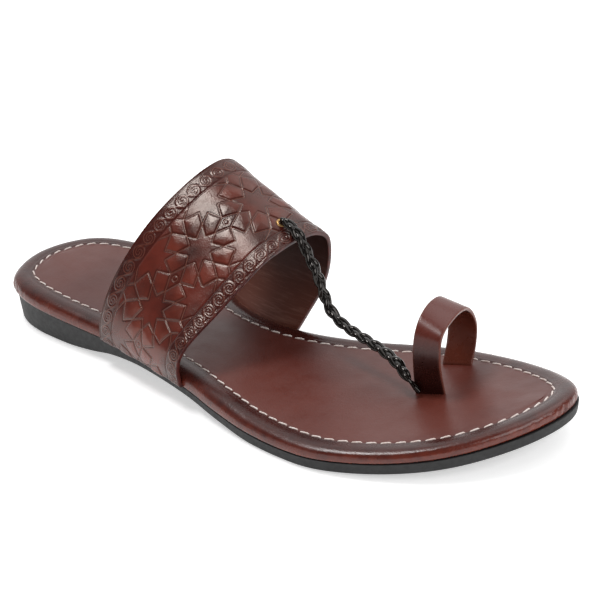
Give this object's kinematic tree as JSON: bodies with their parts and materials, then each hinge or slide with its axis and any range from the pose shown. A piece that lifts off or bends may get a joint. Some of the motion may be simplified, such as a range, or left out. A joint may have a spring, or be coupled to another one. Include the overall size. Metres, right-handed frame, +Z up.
{
  "type": "toe-ring sandal",
  "caption": "Right slide sandal with a broad embossed leather instep band, a leather toe ring, a braided cord between them and a low rubber sole.",
  "frame": {"origin": "on the floor under the middle of the sandal's bounding box", "axes": "+X from the heel to the toe, +Y to the inner side of the foot, +Z up"},
  "size_m": [0.2806, 0.1066, 0.0792],
  "materials": {
    "sole_rubber": "matte dark grey rubber with a faint grain",
    "footbed_leather": "smooth brown leather, darker and slightly glossier on the rolled edge",
    "band_leather": "embossed dark red-brown leather with a waxed sheen",
    "ring_leather": "smooth dark brown leather, semi-gloss",
    "cord_leather": "glossy black waxed cord",
    "eyelet_brass": "worn polished brass"
  },
  "bodies": {
    "root": {"outsole": "sole_rubber", "footbed": "footbed_leather", "vamp_band": "band_leather", "toe_ring": "ring_leather", "braid_cord": "cord_leather", "brass_eyelet": "eyelet_brass"}
  },
  "joints": []
}
